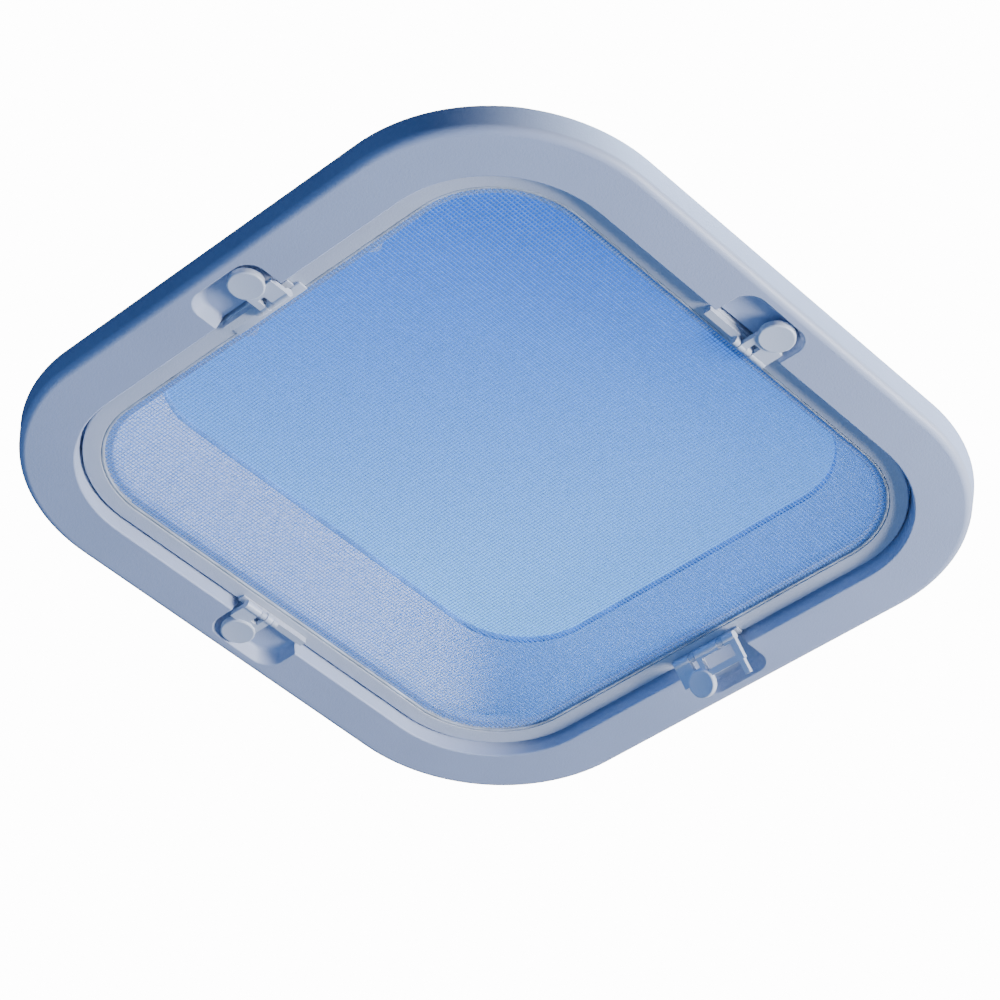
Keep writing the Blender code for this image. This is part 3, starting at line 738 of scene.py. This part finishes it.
def make_base_frame():
    """The deck frame's flange, upstand and spigot, and the gasket round the upstand."""
    upstand = GASKET_HIGH[0]
    outline = [
        (BASE_HIGH[0], 0.0),
        (BASE_HIGH[0], BASE_TOP),
        (upstand, BASE_TOP),
        (upstand, BASE_HIGH[2]),
        (UPSTAND_INNER, BASE_HIGH[2]),
        (UPSTAND_INNER, 0.0),
        (SPIGOT_HALF - METAL, 0.0),
        (SPIGOT_HALF - METAL, BASE_LOW[2]),
        (SPIGOT_HALF, BASE_LOW[2]),
        (SPIGOT_HALF, 0.0),
    ]
    sections = outline_sections(outline, {0: 0.0004, 1: 0.0022, 2: 0.0012, 3: 0.0006, 4: 0.0006})
    frame_ring = make_ring("deck_frame", sections, ALUMINIUM)
    piece(frame_ring, "housing", "aluminium", "base_frame")
    low, high = GASKET_LOW[2], GASKET_HIGH[2]
    outline = [(upstand, low), (upstand, high), (UPSTAND_INNER, high), (UPSTAND_INNER, low)]
    gasket = make_ring("gasket", outline_sections(outline, {1: 0.0015, 2: 0.0015}), RUBBER)
    piece(gasket, "housing", "rubber", "lid_gasket")


# --- lid ---------------------------------------------------------------------------------


def lens_section(outward, z):
    """The lens's outline as a section, moved outwards by this much."""
    half_x, half_y = LENS_HIGH[0] + outward, LENS_HIGH[1] + outward
    return (half_x, half_y, LENS_RADIUS + outward, z)


def make_lid():
    """The lid's casting, the lens in it, and the seal under the lens's edge."""
    bottom, top = LID_LOW[2] + SKIRT, LID_HIGH[2]
    half = LID_HIGH[0]
    shelf = bottom + 0.003
    rebate = 0.0005
    sections = [
        lens_section(-LENS_SHELF, bottom + 0.0004),
        lens_section(-LENS_SHELF, shelf),
        lens_section(rebate, shelf),
        lens_section(rebate, top - 0.0004),
        lens_section(rebate + 0.0004, top),
    ]
    outer = [
        (half - CHAMFER, top),
        (half, top - CHAMFER),
        (half, LID_LOW[2]),
        (half - METAL, LID_LOW[2]),
        (half - METAL, bottom),
    ]
    for i, point in enumerate(outer):
        radius = {1: 0.0038, 2: 0.0010, 3: 0.0008}.get(i)
        if radius:
            turned = round_over(outer[i - 1], point, outer[i + 1], radius)
            sections += [square(*corner) for corner in turned]
        else:
            sections.append(square(*point))
    lid = make_ring("lid_casting", sections, ALUMINIUM)
    piece(lid, "lid", "aluminium", "lid_frame")
    low, high = SEAL_LOW[2], SEAL_HIGH[2]
    seal_sections = [
        lens_section(SEAL_OUTER, low),
        lens_section(SEAL_OUTER, high),
        lens_section(SEAL_INNER, high),
        lens_section(SEAL_INNER, low + 0.0010),
        lens_section(-0.0121, low + 0.0003),
        lens_section(-0.0114, low),
    ]
    seal = make_ring("seal", seal_sections, BEAD)
    piece(seal, "lid", "rubber", "lens_seal")
    low, high = LENS_LOW[2], LENS_HIGH[2]
    lens = make_slab(
        "lens_pane",
        [
            lens_section(-LENS_EDGE, low),
            lens_section(0.0, low + LENS_EDGE),
            lens_section(0.0, high - LENS_EDGE),
            lens_section(-LENS_EDGE, high),
        ],
        ACRYLIC_PAINTED_GLOW,
    )
    holes = [
        cylinder_object(
            "hole_%d" % number,
            SPINDLE_HOLE_R,
            (*spindle_place(number), 0.0),
            (*spindle_place(number), SPINDLE_HOLE_TOP),
            ACRYLIC_PAINTED_GLOW,
        )
        for number in (1, 2)
    ]
    combine(lens, holes, "DIFFERENCE")
    piece(lens, "lid", "tinted", "lens")


def spindle_place(number):
    """The middle of this handle's spindle, in X and Y."""
    low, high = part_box("spindle_%d" % number)
    return ((low[0] + high[0]) / 2, (low[1] + high[1]) / 2)


# --- insect screen -----------------------------------------------------------------------


def make_screen_frame():
    groove_z = BAND_Z + 0.0018
    outline = [
        (SCREEN_HALF, SCREEN_HIGH[2]),
        (SCREEN_HALF, BAND_Z),
        (BAND_INNER, BAND_Z),
        (BAND_INNER, groove_z),
        (GROOVE_INNER, groove_z),
        (GROOVE_INNER, LIP_Z),
        (MESH_HALF, LIP_Z),
        (MESH_HALF, SCREEN_HIGH[2]),
    ]
    fillets = {0: 0.0006, 1: 0.0009, 2: 0.0004, 5: 0.0002, 6: 0.0016, 7: 0.0008}
    ring = make_ring("screen_moulding", outline_sections(outline, fillets), SCREEN)
    piece(ring, "screen", "screen", "screen_frame")
    low, high = SPLINE_LOW[2], SPLINE_HIGH[2]
    outer, inner = SPLINE_HIGH[0], GROOVE_INNER + 0.0003
    outline = [(outer, high), (outer, low), (inner, low), (inner, high)]
    spline = make_ring("spline_cord", outline_sections(outline, {1: 0.0007, 2: 0.0007}), SPLINE)
    piece(spline, "screen", "rubber", "mesh_spline")


def half_chord(offset, half, radius):
    """Half the width of a round-cornered square at this distance from its middle."""
    past = abs(offset) - (half - radius)
    if past <= 0:
        return half
    return half - radius + math.sqrt(max(radius * radius - past * past, 0.0))


def make_mesh():
    """Insect mesh: two layers of straight flattened strands that cross."""
    half = PANEL_HIGH[0]
    radius = square(half, 0.0)[2]
    bm = bmesh.new()
    level = PANEL_HIGH[2] - 0.00002
    for along_x, pitch in ((True, PITCH_Y), (False, PITCH_X)):
        count = int(half / pitch)
        high = level if along_x else level - STRAND_DEPTH * 0.8
        low = high - STRAND_DEPTH
        for number in range(-count, count + 1):
            middle = number * pitch
            reach = half_chord(middle, half, radius)
            side = STRAND_WIDTH / 2
            if along_x:
                add_box(bm, (-reach, middle - side, low), (reach, middle + side, high))
            else:
                add_box(bm, (middle - side, -reach, low), (middle + side, reach, high))
    mesh = add_object("insect_mesh", bm, FIBRE)
    piece(mesh, "screen", "mesh", "screen_mesh")


def make_name_plate():
    """A blank raised plate on the screen frame."""
    low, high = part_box("name_plate")
    plate = box_object("blank_plate", low, high, LEVER)
    round_edges(plate, 0.0007)
    piece(plate, "screen", "screen", "name_plate")


# --- catches -----------------------------------------------------------------------------


def make_bracket(name, place):
    """What a lever hangs on: a foot, two ears and, beside the usual lever, a low bar."""
    long = name == LONG_CATCH
    foot_w = -BAND_Z + 0.0003
    plate_w = foot_w + 0.0014
    inner, outer = 0.2044, 0.2100
    bracket = box_object(
        "bracket_" + name, (inner, -0.0290, foot_w), (outer, 0.0285, plate_w), SCREEN, place
    )
    outline = arc(BARREL_R - 0.0002, 0, 180, 24, (PIN_U, PIN_W))
    outline += [(u, plate_w - 0.0005) for u in (inner + 0.0002, outer - 0.0021)]
    ear_spans = LONG_EAR_T if long else EAR_T
    added = [prism_object("ear", outline, *span, SCREEN, place) for span in ear_spans]
    if not long:
        low = (inner + 0.0001, EAR_T[1][1] - 0.0010, plate_w - 0.0004)
        high = (outer - 0.0001, 0.0284, plate_w + 0.0028)
        added.append(box_object("bar", low, high, SCREEN, place))
    combine(bracket, added, "UNION")
    round_edges(bracket, 0.0006)
    even_shading(bracket)
    piece(bracket, "screen", "screen", "catch_bracket_" + name)


def lever_plate(name, span, reach):
    """A lever's barrel and the plate that runs out from it, with the barrel's axis on Y."""
    outline = arc(
        BARREL_R,
        math.degrees(math.asin(FRONT_W / BARREL_R)),
        360 + math.degrees(math.asin(REAR_W / BARREL_R)),
        30,
    )
    outline += [(reach, REAR_W), (reach, FRONT_W)]
    return prism_object("lever_" + name, outline, *span, LEVER)


def finish_lever(name, lever, slots, pad_r, pad_x, place):
    """Cuts the slots, adds the round pad, rounds the edges and moves the lever to its place."""
    combine(lever, [box_object("slot", *ends, LEVER) for ends in slots], "DIFFERENCE")
    thick, rim = 0.0040, 0.0012
    profile = [(0.0, -0.0008), (pad_r - 0.0004, -0.0008), (pad_r, -0.0004)]
    profile += arc(rim, 0, 90, 8, (pad_r - rim, thick - rim))
    profile += [(pad_r - 0.0030, thick - 0.0001), (0.0, thick - 0.0003)]
    pad = turned_object("pad", profile, LEVER, Matrix.Translation((pad_x, PAD_T, 0.0)))
    combine(lever, [pad], "UNION")
    round_edges(lever, 0.0006)
    lever.data.transform(place)
    even_shading(lever)
    piece(lever, "catch_" + name, "moulding", "catch_lever_" + name)


def make_lever(name, place):
    """The usual lever: a barrel, two arms with a notch between them, and a round pad."""
    lever = lever_plate(name, LEVER_T, 0.0150)
    notch = (
        (-0.01, EAR_T[0][0] - 0.0005, -0.01),
        (0.0085, EAR_T[0][1] + 0.0005, 0.01),
    )
    finish_lever(name, lever, (notch,), PAD_R, PAD_U - PIN_U, place)


def make_long_lever(name, place):
    """The wide lever: a slotted plate with a round pad at one end, a long arm at the other."""
    plate_x = 0.0170
    arm_t = (0.0212, 0.0252)
    lever = lever_plate(name, LONG_LEVER_T, plate_x)
    arm = box_object(
        "arm",
        (plate_x - 0.001, arm_t[0], REAR_W + 0.0001),
        (0.0270, arm_t[1], FRONT_W - 0.0001),
        LEVER,
    )
    combine(lever, [arm], "UNION")
    slots = (
        ((0.0038, -0.0040, -0.01), (0.0125, arm_t[0], 0.01)),
        ((-0.01, LONG_EAR_T[0][0] - 0.0005, -0.01), (0.0085, LONG_EAR_T[0][1] + 0.0005, 0.01)),
        ((-0.01, LONG_EAR_T[1][0] - 0.0004, -0.01), (0.0050, LONG_EAR_T[1][1] + 0.0004, 0.01)),
    )
    finish_lever(name, lever, slots, LONG_PAD_R, LONG_PAD_U - PIN_U, place)


def make_catches():
    for name, angle in CATCHES.items():
        place = side_frame(angle)
        make_bracket(name, place)
        swing = Matrix.Rotation(-math.radians(OPENED[name]), 4, "Y")
        pivot = place @ Matrix.Translation((PIN_U, 0.0, PIN_W)) @ swing
        if name == LONG_CATCH:
            make_long_lever(name, pivot)
        else:
            make_lever(name, pivot)


# --- CAD nodes that stay -----------------------------------------------------------------


def dress_nodes():
    """Gives each CAD node that stays its finish."""
    finishes = {"aluminium": ALUMINIUM, "steel": STEEL, "handle": HANDLE}
    for entry in frame["record"]["subparts"]:
        material = finishes.get(entry["material_slot"])
        obj = frame["nodes"].get(entry["node"])
        if material and obj:
            for slot in obj.material_slots:
                slot.material = material


make_camera()
make_lights()
make_world()
make_floor()
make_trim_ring()
make_liner()
make_base_frame()
make_lid()
make_screen_frame()
make_mesh()
make_name_plate()
make_catches()
dress_nodes()
